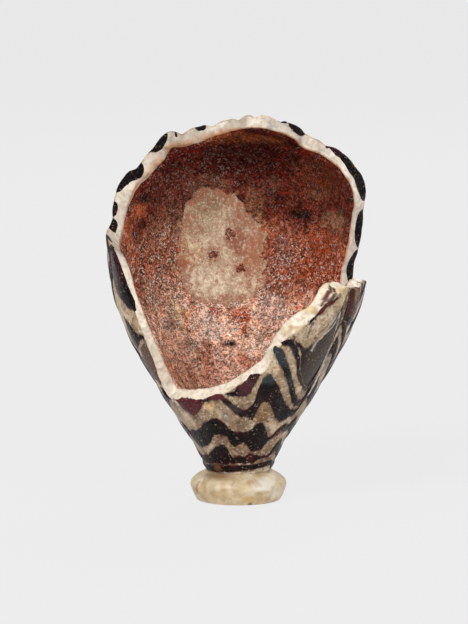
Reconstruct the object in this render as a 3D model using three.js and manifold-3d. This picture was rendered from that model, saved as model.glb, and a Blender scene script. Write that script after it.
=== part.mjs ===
// A broken glass amphoriskos in millimetres, +Z up, standing on its pad foot.
// The origin is the centre of the underside of the foot, and the broken side faces -Y.
// Angles run round the axis in degrees: 0 is the front, 90 is +X and 180 is the back.

import * as THREE from "three";
import { mergeVertices } from "three/addons/utils/BufferGeometryUtils.js";
import Module from "manifold-3d";

// Body: from the foot joint out to the widest ring, then in to the root of the lost neck
const JOINT_RADIUS = 6.6;
const BODY_RADIUS = 26.5;
const NECK_RADIUS = 6;
const BELLY_HEIGHT = 47.5;
const SHOULDER_HEIGHT = 23.8;
const WALL = 2.8;
const FLOOR_THICKNESS = 8; // glass under the lowest point of the cavity
const GROOVE_DEPTH = 0.7; // upright grooves that the combing left

// Foot: a round pad with a flat underside
const FOOT_HEIGHT = 5.7;
const FOOT_BASE_RADIUS = 8.6;
const FOOT_RIM_RADIUS = 9.8;
const FOOT_RIM_HEIGHT = 3.5;

// Threads of dark glass, let into the body
const THREAD_WIDTH = 2.8;
const THREAD_DEPTH = 0.7;
const THREAD_RISE = 0.25; // how far a thread stands out of the body
const FOOT_THREAD_WIDTH = 1.1; // the plain ring above the foot

// Residue of the clay core on the inside
const CRUST = 0.6;
const FLECK_WIDTH = 2.4;

const GAP = 0.3; // between pieces that touch on the real object

// Counts
const COLUMNS = 72;
const CRUST_COLUMNS = 36;
const FOOT_COLUMNS = 36;
const FOOT_STEPS = 5;
const FLOOR_STEPS = 4;
const GROOVES = 18;
const ZIGZAGS = 9;

// Outline of the body as shares: outwards from the joint or neck radius, and upwards
const LOWER_SHARES = [
  [0, 0], [0.116, 0.107], [0.352, 0.261], [0.573, 0.415],
  [0.774, 0.566], [0.915, 0.72], [0.97, 0.848], [1, 1],
];
const UPPER_SHARES = [
  [0.98, 0.273], [0.927, 0.483], [0.805, 0.664], [0.61, 0.819],
  [0.39, 0.924], [0.195, 0.979], [0, 1],
];

// Rows of the body's skin as shares of the outline's length: above the threads, and inside
const UPPER_ROW_SHARES = [0.935, 0.96, 0.985];
const INNER_ROW_SHARES = [
  0.17, 0.22, 0.28, 0.34, 0.4, 0.46, 0.52, 0.58, 0.64, 0.7, 0.75, 0.8, 0.85, 0.9, 0.94, 0.985,
];
const FLOOR_SWEEP = Math.PI / 3; // the part of a quarter round that the floor's curve uses
const GROOVE_FADE_SHARES = [0.06, 0.4]; // grooves start at the first and are full from the second

// The break, once round: angle, then share of the outline's length
const BREAK_SHARES = [
  [-66, 0.203], [-46, 0.207], [-34, 0.212], [-23, 0.219], [-12, 0.233], [-3, 0.25],
  [6, 0.274], [12, 0.294], [15, 0.306], [17, 0.342], [21, 0.384], [26, 0.416],
  [32, 0.436], [39, 0.457], [42, 0.477], [44, 0.498], [49, 0.503], [54, 0.502],
  [61, 0.494], [67, 0.486], [72, 0.496], [82, 0.495], [90, 0.487], [97, 0.468],
  [103, 0.456], [109, 0.455], [114, 0.465], [114, 0.505], [111, 0.548], [108, 0.6],
  [106, 0.631], [102, 0.656], [97, 0.677], [96, 0.7], [98, 0.725], [104, 0.746],
  [108, 0.769], [113, 0.787], [121, 0.815], [131, 0.829], [134, 0.844], [132, 0.868],
  [135, 0.904], [140, 0.925], [146, 0.953], [166, 0.957], [178, 0.938], [198, 0.895],
  [208, 0.871], [217, 0.856], [232, 0.854], [234, 0.835], [232, 0.785], [238, 0.75],
  [245, 0.724], [251, 0.688], [257, 0.65], [262, 0.605], [270, 0.588], [280, 0.573],
  [287, 0.558], [292, 0.538], [295, 0.51], [297, 0.48], [299, 0.452], [300, 0.425],
  [301, 0.38], [300.5, 0.345], [299, 0.31], [297, 0.275], [295, 0.24], [293, 0.215],
];

const BREAK_MIDDLE_SHARES = [0, 0.62];
const BREAK_CENTRE_SHARE = 0.418; // the break's faces point at the axis at this share's height

// Zigzag threads: height and swing as shares of the outline's length, and the stretches that the
// break left of a thread that doesn't run all round
const FOOT_RING_SHARES = { level: 0.015, swing: 0 };
const ZIGZAG_SHARES = [
  { name: "a", level: 0.055, swing: 0.012, widthShare: 0.8 },
  { name: "b", level: 0.115, swing: 0.02, widthShare: 1.15 },
  { name: "c", level: 0.205, swing: 0.035, widthShare: 1.2, stretches: [[-56, -24], [-18, 296]] },
  { name: "d", level: 0.295, swing: 0.065, widthShare: 1.1, stretches: [[-8, 13.5], [15.5, 303]] },
  { name: "e", level: 0.355, swing: 0.07, widthShare: 1, stretches: [[22, 303]] },
  { name: "f", level: 0.445, swing: 0.085, widthShare: 1, stretches: [[30, 58], [62, 98], [102, 298]] },
  { name: "g", level: 0.53, swing: 0.085, widthShare: 1, stretches: [[36, 50], [70, 90], [106, 300]] },
  { name: "h", level: 0.615, swing: 0.08, widthShare: 1, stretches: [[100, 262], [269, 289]] },
  { name: "i", level: 0.695, swing: 0.065, widthShare: 1, stretches: [[100, 256]] },
  { name: "j", level: 0.77, swing: 0.045, widthShare: 1, stretches: [[104, 244]] },
  { name: "k", level: 0.885, swing: 0.02, widthShare: 0.9, stretches: [[128, 216]] },
];

// The bare patch in the core residue, and the flecks left in it: angle, then share
const PATCH_SHARES = [
  [170, 0.5], [171, 0.46], [178, 0.425], [190, 0.41], [200, 0.415], [208, 0.44], [213, 0.49],
  [213, 0.55], [210, 0.61], [204, 0.645], [194, 0.66], [183, 0.655], [175, 0.62], [171, 0.57],
];
const PATCH_MIDDLE_SHARES = [190, 0.53];
const FLECK_PLACES = [
  { name: "upper", angle: 185, share: 0.568, widthShare: 1 },
  { name: "middle", angle: 193, share: 0.52, widthShare: 0.75 },
  { name: "lower", angle: 178, share: 0.485, widthShare: 0.85 },
];
const FLECK_SIDES = 8;
const FLECK_TOP_SHARE = 0.5; // of the width at its foot

const wasm = await Module();
wasm.setup();

const group = new THREE.Group();

// Colours and finishes
const paleGlass = { color: 0xd9cfbb, roughness: 0.55, metalness: 0 };
const footGlass = { color: 0xcfc4ae, roughness: 0.4, metalness: 0 };
const darkGlass = { color: 0x1d1018, roughness: 0.3, metalness: 0 };
const redClay = { color: 0x7d3a24, roughness: 0.95, metalness: 0 };
const brownClay = { color: 0x5a2c1c, roughness: 0.95, metalness: 0 };

const radians = THREE.MathUtils.degToRad;
const BASE = FOOT_HEIGHT + GAP; // where the body starts

// Half of the body's outline, from the foot joint to the neck
function bodyOutline() {
  const points = LOWER_SHARES.map(([out, up]) => new THREE.Vector2(
    JOINT_RADIUS + (BODY_RADIUS - JOINT_RADIUS) * out,
    BASE + BELLY_HEIGHT * up,
  ));
  for (const [out, up] of UPPER_SHARES)
    points.push(new THREE.Vector2(
      NECK_RADIUS + (BODY_RADIUS - NECK_RADIUS) * out,
      BASE + BELLY_HEIGHT + SHOULDER_HEIGHT * up,
    ));
  return new THREE.SplineCurve(points);
}
const outline = bodyOutline();

// How deep the upright grooves are at a place: deepest at every groove, nothing halfway between
function grooveDepth(angle, share) {
  const wave = (1 + Math.cos(radians(angle) * GROOVES)) / 2;
  return GROOVE_DEPTH * wave ** 2 * THREE.MathUtils.smoothstep(share, ...GROOVE_FADE_SHARES);
}

// The point at an angle and height share, this deep under the smooth outer skin
function bodyPoint(angle, share, depth) {
  const place = outline.getPointAt(share);
  const along = outline.getTangentAt(share);
  const radius = place.x - depth * along.y;
  const turn = radians(angle);
  return new THREE.Vector3(
    radius * Math.sin(turn),
    -radius * Math.cos(turn),
    place.y + depth * along.x,
  );
}

// The same, following the grooves
function skinPoint(angle, share, depth) {
  return bodyPoint(angle, share, depth + grooveDepth(angle, share));
}

// The curved floor of the cavity: step 0 is nearest the axis
function floorPoint(angle, step, inset) {
  const edge = bodyPoint(angle, INNER_ROW_SHARES[0], WALL + inset);
  const bottom = BASE + FLOOR_THICKNESS + inset;
  const sweep = FLOOR_SWEEP * ((step + 1) / (FLOOR_STEPS + 1));
  const outward = Math.sin(sweep) / Math.sin(FLOOR_SWEEP);
  const upward = (1 - Math.cos(sweep)) / (1 - Math.cos(FLOOR_SWEEP));
  return new THREE.Vector3(
    edge.x * outward,
    edge.y * outward,
    bottom + (edge.z - bottom) * upward,
  );
}

function ring(pointAt, columns) {
  return Array.from({ length: columns }, (_, i) => pointAt((i * 360) / columns));
}

// A closed skin over rings of points, with flat ends, or joined end to end
function loft(rings, joined) {
  const size = rings[0].length;
  const positions = rings.flat().flatMap((point) => point.toArray());
  const faces = [];
  const spans = joined ? rings.length : rings.length - 1;
  for (let i = 0; i < spans; i++) {
    const here = i * size;
    const next = ((i + 1) % rings.length) * size;
    for (let j = 0; j < size; j++) {
      const k = (j + 1) % size;
      faces.push(here + j, here + k, next + k, here + j, next + k, next + j);
    }
  }
  const last = (rings.length - 1) * size;
  for (let j = 1; j < size - 1 && !joined; j++) {
    faces.push(0, j + 1, j);
    faces.push(last, last + j, last + j + 1);
  }
  const geometry = new THREE.BufferGeometry();
  geometry.setAttribute("position", new THREE.Float32BufferAttribute(positions, 3));
  geometry.setIndex(faces);
  return geometry;
}

function solid(geometry) {
  return new wasm.Manifold(new wasm.Mesh({
    numProp: 3,
    vertProperties: geometry.getAttribute("position").array,
    triVerts: new Uint32Array(geometry.index.array),
  }));
}

function geometryOf(made) {
  const mesh = made.getMesh();
  const geometry = new THREE.BufferGeometry();
  geometry.setAttribute("position", new THREE.BufferAttribute(mesh.vertProperties, 3));
  geometry.setIndex(new THREE.BufferAttribute(mesh.triVerts, 1));
  return geometry;
}

// A plain shape as one skin of shared corners
function merged(geometry) {
  geometry.deleteAttribute("normal");
  geometry.deleteAttribute("uv");
  return mergeVertices(geometry);
}

function add(name, geometry, finish) {
  geometry.computeVertexNormals();
  const mesh = new THREE.Mesh(geometry, new THREE.MeshStandardMaterial(finish));
  mesh.name = name;
  group.add(mesh);
}

// A cone from the middle of the cavity out through an outline on the body
function coneThrough(outlineShares, middleShares) {
  const centre = new THREE.Vector3(0, 0, outline.getPointAt(BREAK_CENTRE_SHARE).y);
  const reach = BELLY_HEIGHT + SHOULDER_HEIGHT;
  const farPoint = ([angle, share]) =>
    bodyPoint(angle, share, WALL / 2).sub(centre).setLength(reach).add(centre);
  const middle = farPoint(middleShares);
  const rim = outlineShares.map(farPoint);
  const positions = [centre, middle, ...rim].flatMap((point) => point.toArray());
  const faces = [];
  for (let i = 0; i < rim.length; i++) {
    const a = i + 2;
    const b = ((i + 1) % rim.length) + 2;
    faces.push(0, b, a, 1, a, b);
  }
  const geometry = new THREE.BufferGeometry();
  geometry.setAttribute("position", new THREE.Float32BufferAttribute(positions, 3));
  geometry.setIndex(faces);
  return solid(geometry);
}
const breakCone = coneThrough(BREAK_SHARES, BREAK_MIDDLE_SHARES);

// One thread's line: peaks and troughs follow the grooves
function threadShare(thread, angle) {
  return thread.level - thread.swing * Math.cos(radians(angle) * ZIGZAGS);
}

// The angles of a thread's sections: all round, or a stretch's ends and every column between them
function threadAngles(stretch) {
  const step = 360 / COLUMNS;
  if (!stretch) return Array.from({ length: COLUMNS }, (_, i) => i * step);
  const [from, to] = stretch;
  const angles = [];
  for (let i = Math.floor(from / step) + 1; i * step < to; i++) angles.push(i * step);
  return [from, ...angles, to];
}

// A stretch of one thread, or the whole ring of it
function threadSolid({ line, stretch, width }) {
  const half = width / 2 / outline.getLength();
  const sections = threadAngles(stretch).map((angle) => {
    const share = threadShare(line, angle);
    return [
      skinPoint(angle, share - half, -THREAD_RISE),
      skinPoint(angle, share - half, THREAD_DEPTH),
      skinPoint(angle, share + half, THREAD_DEPTH),
      skinPoint(angle, share + half, -THREAD_RISE),
    ];
  });
  return solid(loft(sections, !stretch));
}

// The threads that are left, with a name for each stretch
function threads() {
  const all = [{
    name: "thread_foot_ring",
    line: FOOT_RING_SHARES,
    width: FOOT_THREAD_WIDTH,
  }];
  for (const line of ZIGZAG_SHARES) {
    const { stretches = [undefined] } = line;
    const width = THREAD_WIDTH * line.widthShare;
    stretches.forEach((stretch, i) => {
      const suffix = stretches.length > 1 ? `_${i + 1}` : "";
      all.push({ name: `thread_${line.name}${suffix}`, line, stretch, width });
    });
  }
  return all;
}

function addThreads() {
  for (const thread of threads())
    add(thread.name, geometryOf(threadSolid(thread).subtract(breakCone)), darkGlass);
}

// Four rings that shape the channel of one thread, from its lower edge to its upper one
function channelRings(line, width) {
  const half = (width / 2 + GAP) / outline.getLength();
  const corners = [[-half, 0], [-half, THREAD_DEPTH + GAP], [half, THREAD_DEPTH + GAP], [half, 0]];
  return corners.map(([side, depth]) =>
    ring((a) => skinPoint(a, threadShare(line, a) + side, depth), COLUMNS));
}

// The whole body as it was up to the neck, before it broke, with the channels of its threads
function wholeBody() {
  const rings = [ring((a) => skinPoint(a, 0, 0), COLUMNS)];
  rings.push(...channelRings(FOOT_RING_SHARES, FOOT_THREAD_WIDTH));
  for (const line of ZIGZAG_SHARES)
    rings.push(...channelRings(line, THREAD_WIDTH * line.widthShare));
  for (const share of UPPER_ROW_SHARES)
    rings.push(ring((a) => skinPoint(a, share, 0), COLUMNS));
  for (const share of [...INNER_ROW_SHARES].reverse())
    rings.push(ring((a) => bodyPoint(a, share, WALL), COLUMNS));
  for (let step = FLOOR_STEPS - 1; step >= 0; step--)
    rings.push(ring((a) => floorPoint(a, step, 0), COLUMNS));
  return solid(loft(rings, false));
}

function addBody() {
  add("body_wall", geometryOf(wholeBody().subtract(breakCone)), paleGlass);
}

// A layer on the inside of the wall, open at the neck
function wholeCrust() {
  const rings = [];
  const near = GAP;
  const far = GAP + CRUST;
  for (let step = 0; step < FLOOR_STEPS; step++)
    rings.push(ring((a) => floorPoint(a, step, near), CRUST_COLUMNS));
  for (const share of INNER_ROW_SHARES)
    rings.push(ring((a) => bodyPoint(a, share, WALL + near), CRUST_COLUMNS));
  for (const share of [...INNER_ROW_SHARES].reverse())
    rings.push(ring((a) => bodyPoint(a, share, WALL + far), CRUST_COLUMNS));
  for (let step = FLOOR_STEPS - 1; step >= 0; step--)
    rings.push(ring((a) => floorPoint(a, step, far), CRUST_COLUMNS));
  return solid(loft(rings, false));
}

function addCrust() {
  const crust = wholeCrust().subtract(breakCone).subtract(coneThrough(PATCH_SHARES, PATCH_MIDDLE_SHARES));
  add("core_residue", geometryOf(crust), redClay);
}

// Small lumps of residue left on the bare patch
function addFlecks() {
  for (const { name, angle, share, widthShare } of FLECK_PLACES) {
    const radius = (FLECK_WIDTH * widthShare) / 2;
    const geometry = new THREE.CylinderGeometry(radius * FLECK_TOP_SHARE, radius, CRUST, FLECK_SIDES);
    const foot = bodyPoint(angle, share, WALL + GAP);
    const top = bodyPoint(angle, share, WALL + GAP + CRUST);
    const inward = top.clone().sub(foot).normalize();
    const turn = new THREE.Quaternion().setFromUnitVectors(new THREE.Vector3(0, 1, 0), inward);
    const middle = foot.add(top).divideScalar(2);
    geometry.applyQuaternion(turn);
    geometry.translate(...middle);
    add(`core_fleck_${name}`, merged(geometry), brownClay);
  }
}

// The foot: a quarter round up to its rim, and another in to the joint
function addFoot() {
  const points = [new THREE.Vector2(0, 0)];
  for (let i = 0; i < FOOT_STEPS; i++) {
    const turn = (i / FOOT_STEPS) * (Math.PI / 2);
    points.push(new THREE.Vector2(
      FOOT_BASE_RADIUS + (FOOT_RIM_RADIUS - FOOT_BASE_RADIUS) * Math.sin(turn),
      FOOT_RIM_HEIGHT * (1 - Math.cos(turn)),
    ));
  }
  for (let i = 0; i <= FOOT_STEPS; i++) {
    const turn = (i / FOOT_STEPS) * (Math.PI / 2);
    points.push(new THREE.Vector2(
      JOINT_RADIUS + (FOOT_RIM_RADIUS - JOINT_RADIUS) * Math.cos(turn),
      FOOT_RIM_HEIGHT + (FOOT_HEIGHT - FOOT_RIM_HEIGHT) * Math.sin(turn),
    ));
  }
  points.push(new THREE.Vector2(0, FOOT_HEIGHT));
  const geometry = new THREE.LatheGeometry(points, FOOT_COLUMNS);
  geometry.rotateX(Math.PI / 2);
  add("foot_pad", merged(geometry), footGlass);
}

addBody();
addFoot();
addThreads();
addCrust();
addFlecks();

export default group;
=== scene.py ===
"""A broken glass amphoriskos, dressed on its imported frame.

Shapes are worked out in millimetres and turned into metres when a mesh is made. Angles run round
the axis in degrees: 0 is the broken front (-Y), 90 is +X and 180 is the back. A share is a place
along the body's outline, from the foot joint at 0 to the root of the lost neck at 1. A depth is
measured inwards from the smooth outer skin.
"""

import itertools
import math

import bmesh
import bpy
import numpy as np
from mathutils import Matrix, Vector


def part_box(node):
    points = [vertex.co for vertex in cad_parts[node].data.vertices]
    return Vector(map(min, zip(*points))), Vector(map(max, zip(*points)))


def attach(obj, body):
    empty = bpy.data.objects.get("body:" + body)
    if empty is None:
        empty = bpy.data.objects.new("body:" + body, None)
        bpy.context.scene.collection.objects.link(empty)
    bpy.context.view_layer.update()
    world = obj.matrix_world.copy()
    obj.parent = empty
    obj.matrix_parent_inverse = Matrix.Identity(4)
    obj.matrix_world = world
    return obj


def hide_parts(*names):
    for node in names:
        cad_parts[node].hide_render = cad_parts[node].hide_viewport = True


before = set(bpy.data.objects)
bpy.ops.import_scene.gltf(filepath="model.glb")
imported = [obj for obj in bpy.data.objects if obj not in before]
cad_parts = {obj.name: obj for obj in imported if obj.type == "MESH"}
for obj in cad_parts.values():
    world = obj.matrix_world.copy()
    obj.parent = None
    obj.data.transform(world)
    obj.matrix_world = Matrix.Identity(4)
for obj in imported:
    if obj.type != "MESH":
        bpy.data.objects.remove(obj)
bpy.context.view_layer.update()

MM = 0.001

# Sizes of the body, as in the frame
wall_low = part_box("body_wall")[0] / MM
foot_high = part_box("foot_pad")[1] / MM
BASE = wall_low.z
BODY_RADIUS = -wall_low.x
JOINT_RADIUS = 6.6
NECK_RADIUS = 6.0
BELLY_HEIGHT = 47.5
SHOULDER_HEIGHT = 23.8
WALL = 2.8
FLOOR_THICKNESS = 8.0
GROOVE_DEPTH = 0.7
GROOVES = 18
ZIGZAGS = 9
LOWER_SHARES = [
    (0, 0), (0.116, 0.107), (0.352, 0.261), (0.573, 0.415),
    (0.774, 0.566), (0.915, 0.72), (0.97, 0.848), (1, 1),
]
UPPER_SHARES = [
    (0.98, 0.273), (0.927, 0.483), (0.805, 0.664), (0.61, 0.819),
    (0.39, 0.924), (0.195, 0.979), (0, 1),
]
GROOVE_FADE_SHARES = (0.06, 0.4)
TOP_SHARE = 0.985
FLOOR_EDGE_SHARE = 0.17
FLOOR_SWEEP = math.pi / 3

# The break, once round: angle, then share
BREAK_SHARES = [
    (-66, 0.203), (-46, 0.207), (-34, 0.212), (-23, 0.219), (-12, 0.233), (-3, 0.25),
    (6, 0.274), (12, 0.294), (15, 0.306), (17, 0.342), (21, 0.384), (26, 0.416),
    (32, 0.436), (39, 0.457), (42, 0.48), (44, 0.502), (49, 0.508), (54, 0.507),
    (61, 0.498), (67, 0.49), (72, 0.501), (82, 0.5), (90, 0.489), (97, 0.468),
    (103, 0.456), (109, 0.455), (114, 0.465), (114, 0.505), (111, 0.548), (108, 0.6),
    (106, 0.631), (102, 0.656), (97, 0.677), (96, 0.7), (98, 0.725), (104, 0.746),
    (108, 0.769), (113, 0.787), (121, 0.815), (131, 0.829), (134, 0.844), (132, 0.868),
    (135, 0.904), (140, 0.925), (146, 0.953), (166, 0.957), (178, 0.938), (198, 0.895),
    (208, 0.871), (217, 0.856), (232, 0.854), (234, 0.835), (232, 0.785), (238, 0.75),
    (245, 0.724), (251, 0.688), (257, 0.65), (262, 0.605), (270, 0.588), (280, 0.573),
    (287, 0.558), (292, 0.538), (295, 0.51), (297, 0.48), (299, 0.452), (300, 0.425),
    (301, 0.38), (300.5, 0.345), (299, 0.31), (297, 0.275), (295, 0.24), (293, 0.215),
]
BREAK_MIDDLE_SHARES = (0, 0.62)
BREAK_CENTRE_SHARE = 0.418
BREAK_STEP = 0.33  # between the points of the broken edge
BREAK_ROUGH = 0.28  # height of its lumps
OUTER_ROUND = 0.42  # radius of the worn outer edge
INNER_ROUND = 0.3
OVERRUN = 1.8  # of the rough cut past the wall on each side

# How far the outer edge of the break slopes back from the inner one, or less than 0 where the
# inner edge does: angle, then mm
SLOPES = [
    (-70, 0.2), (-55, 0.1), (-30, 0.4), (0, 0.6), (8, 0.7), (13, 1.2), (16, 1.5),
    (20, 2.0), (26, 2.9), (32, 3.3), (38, 3.7), (44, 3.9), (50, 4.0), (54, 3.4), (58, 2.2),
    (63, 1.7), (76, 1.6), (88, 1.0), (100, 0.2), (150, 0.0), (200, -0.2), (212, -1.1),
    (232, -1.3), (246, -0.9), (262, -0.9), (276, -0.8), (285, -0.3), (290, 0.2),
]

# Threads: level and swing of the zigzag, then width in mm, how much wider its peaks are, and
# the stretches that the break left
THREAD_SHARES = {
    "foot_ring": (0.0145, 0.0, 1.6, 0, [None]),
    "a": (0.055, 0.012, 2.3, 0.35, [None]),
    "b": (0.115, 0.02, 3.2, 0.35, [None]),
    "c": (0.205, 0.035, 3.2, 0.8, [(-56, -24.5), (-24, 296)]),
    "d": (0.295, 0.065, 3.3, 0.3, [(-8, 13.5), (15.5, 303)]),
    "e": (0.355, 0.07, 3.0, 0.3, [(22, 303)]),
    "f": (0.445, 0.085, 3.2, 0.3, [(30, 58), (62, 98), (102, 303)]),
    "g": (0.53, 0.085, 3.2, 0.3, [(36, 50), (70, 90), (106, 300)]),
    "h": (0.615, 0.08, 3.2, 0.3, [(100, 262), (269, 289)]),
    "i": (0.695, 0.065, 3.2, 0.3, [(88, 256)]),
    "j": (0.78, 0.045, 3.2, 0.3, [(104, 244)]),
    "k": (0.88, 0.02, 2.8, 0.3, [(128, 216)]),
}
BULGE = (99, 0.69, 13, 0.06)  # angle, share and half sizes of a place with no groove
THREAD_THICKNESS = 1.0  # how deep a thread reaches into the wall
THREAD_RISE = 0.14
THREAD_LIP = 0.015  # how far its edges stand above the skin
THREAD_RAGGED = 0.24
THREAD_WANDER = 0.004  # of the outline
LEAST_WIDTH = 0.4
LEAST_GAP = 0.2

# Where a thread leaves its zigzag, as the photograph shows: angle, then its lower and upper
# edge in thousandths of the outline
HAND_EDGES = {
    "foot_ring": [
        [(-70, 3, 17), (-40, 3, 22), (-10, 6, 23), (12, 9, 23), (29, 12, 25), (49, 15, 29),
         (62, 18, 31)],
    ],
    "a": [
        [(-70, 20, 40), (-48, 24, 47), (-37, 24, 61), (-26, 24, 76), (-19, 25, 82),
         (-15, 27, 72), (-12, 28, 54), (-8, 28, 42), (1, 28, 51), (6, 29, 46), (10, 26, 50),
         (15, 28, 56), (21, 29, 49), (28, 35, 47), (36, 38, 46), (46, 40, 47)],
    ],
    "b": [
        [(-62, 70, 108), (-54, 66, 117), (-49, 67, 112), (-41, 74, 124), (-32, 90, 143),
         (-27, 105, 151), (-22, 110, 155), (-16, 108, 153), (-12, 104, 141), (-9, 86, 127),
         (-6, 72, 120), (0, 80, 118), (4, 85, 121), (9, 82, 117), (12, 72, 125), (16, 64, 138),
         (20, 60, 147), (24, 59, 139), (28, 61, 122), (31, 67, 109), (34, 81, 100), (38, 90, 99),
         (42, 98, 116), (46, 102, 131), (51, 108, 135), (58, 110, 130)],
    ],
    "c": [
        [(-76, 170, 210), (-70, 187, 228), (-66, 197, 230), (-62, 198, 220), (-58, 197, 208),
         (-56, 196, 200), (-54, 195, 206), (-51, 178, 208), (-46, 167, 207), (-42, 158, 207),
         (-38, 166, 208), (-32, 180, 209), (-27, 199, 211), (-22, 207, 215), (-18, 212, 224),
         (-15, 213, 229), (-12, 208, 230), (-9, 198, 217), (-6, 185, 206), (-2, 171, 193),
         (2, 163, 184), (5, 164, 182), (8, 161, 189), (11, 155, 201), (12, 153, 214),
         (13, 162, 244), (15, 185, 267), (17, 200, 276), (20, 205, 279), (23, 200, 267),
         (26, 188, 252), (30, 172, 231), (33, 156, 216), (36, 148, 202), (40, 145, 191),
         (45, 146, 180), (50, 153, 173), (56, 159, 173)],
    ],
    "d": [
        [(-76, 250, 290), (-70, 250, 315), (-66, 238, 335), (-62, 245, 345), (-57, 260, 350)],
        [(-8, 227, 232), (-3, 224, 235), (-1, 222, 246), (2, 220, 254), (5, 221, 268),
         (8, 232, 283), (10, 254, 288), (12, 274, 291), (14, 290, 296), (15, 335, 370),
         (17, 346, 372), (18, 344, 364), (20, 333, 358), (22, 319, 354), (24, 307, 346),
         (26, 297, 328), (29, 279, 307), (32, 262, 288), (35, 243, 271), (39, 222, 251),
         (42, 208, 236), (45, 197, 220), (50, 185, 203), (56, 180, 200)],
    ],
    "e": [
        [(-76, 335, 370), (-72, 328, 413), (-67, 342, 400), (-63, 355, 370), (-57, 357, 368)],
        [(22, 362, 366), (26, 360, 377), (29, 345, 372), (32, 325, 350), (35, 305, 330),
         (38, 283, 303), (41, 265, 280), (46, 245, 257), (54, 222, 232)],
    ],
    "f": [
        [(-82, 500, 570), (-78, 490, 582), (-75, 482, 590), (-71, 468, 590), (-68, 455, 587),
         (-64, 440, 580), (-60, 430, 500), (-57, 430, 470)],
        [(30, 360, 368), (33, 353, 362), (36, 334, 350), (38, 308, 344), (41, 284, 350),
         (45, 262, 364), (49, 240, 390), (53, 237, 420), (56, 250, 437), (58.5, 270, 452),
         (61, 350, 475), (64, 378, 488), (68, 390, 488), (72, 396, 474), (76, 395, 452)],
        [(98, 390, 440), (106, 395, 450), (114, 400, 456), (122, 380, 440)],
    ],
    "g": [
        [(-80, 565, 580), (-75, 590, 600), (-62, 590, 600)],
        [(36, 410, 416), (39, 418, 426), (42, 430, 443), (44, 440, 454), (46, 450, 461),
         (48, 458, 465), (50, 465, 470)],
        [(106, 464, 548), (112, 465, 550), (118, 468, 545), (124, 455, 520)],
    ],
    "h": [
        [(100, 555, 645), (107, 553, 650), (114, 553, 645), (120, 560, 620)],
        [(246, 595, 640), (252, 628, 664), (257, 630, 665), (262, 620, 645)],
    ],
    "i": [
        [(90, 655, 745), (96, 658, 752), (102, 664, 770), (108, 690, 790), (114, 715, 802),
         (120, 742, 812), (126, 762, 818), (132, 762, 800)],
        [(224, 680, 730), (230, 690, 752), (238, 690, 755), (246, 685, 735), (252, 683, 712),
         (256, 682, 700)],
    ],
    "j": [
        [(104, 800, 840), (114, 815, 850), (120, 826, 855), (126, 835, 870), (131, 840, 890),
         (134, 848, 903), (139, 850, 905), (143, 830, 870)],
        [(216, 805, 840), (224, 800, 850), (230, 783, 852), (236, 778, 840), (240, 770, 800)],
    ],
    "k": [
        [(126, 900, 910), (134, 907, 914), (140, 908, 915), (148, 875, 905)],
    ],
}
HAND_UNITS = 1000  # of them in the whole outline
HAND_BLEND = 8  # degrees over which a thread returns to its zigzag

# Residue of the clay core
CRUST = 0.62
CRUST_FOOT = 0.6  # how far it starts inside the wall, before the wall is cut out of it
CRUST_SINK = 0.3  # how far its crumbled edge lies inside the wall
CRUST_SPAN = (0.14, 1.995)  # rows of the cavity's skin that it covers
CRUST_ROWS = 200
CRUST_FOOT_ROWS = 40
FLECK_WIDTH = 2.4
FLECK_HEIGHT = 0.22
FLECK_COLUMNS = 72
FLECK_ROWS = 14
FLECK_ROOT = -0.15  # how far a lump reaches into the wall, as less than 0
FLECK_SHARES = {
    "upper": (185, 0.568, 1.0),
    "middle": (193, 0.52, 0.75),
    "lower": (178, 0.485, 0.85),
}
PATCH_SPOTS = [(190.5, 44, 23, 6.6), (189.5, 50.5, 21, 6), (193, 56, 14, 4.6)]

# Foot
FOOT_RIM_RADIUS = foot_high.x
FOOT_COLUMNS = 300
FOOT_ROWS = 150
FOOT_OUTLINE = [  # from the middle of the underside, in parts of the rim's radius and the height
    (0.0, 0.0), (0.83, 0.0), (0.862, 0.02), (0.89, 0.075), (0.925, 0.17), (0.963, 0.32),
    (0.99, 0.45), (1.0, 0.53), (0.993, 0.61), (0.96, 0.7), (0.9, 0.79), (0.83, 0.87),
    (0.76, 0.93), (0.675, 1.0), (0.0, 1.0),
]

# Photograph's view
ELEVATION = math.radians(6.5)
DISTANCE = 700.0
TARGET = Vector((-0.9, 0, 37.8))
PIXEL = 0.2  # mm at the target
IMAGE_HEIGHT = 624
SENSOR = 36


# Colours

def colour(code):
    """An sRGB code such as #a04020 as linear red, green and blue."""
    parts = np.array([int(code[i:i + 2], 16) for i in (1, 3, 5)]) / 255
    return np.where(parts <= 0.04045, parts / 12.92, ((parts + 0.055) / 1.055) ** 2.4)


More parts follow.
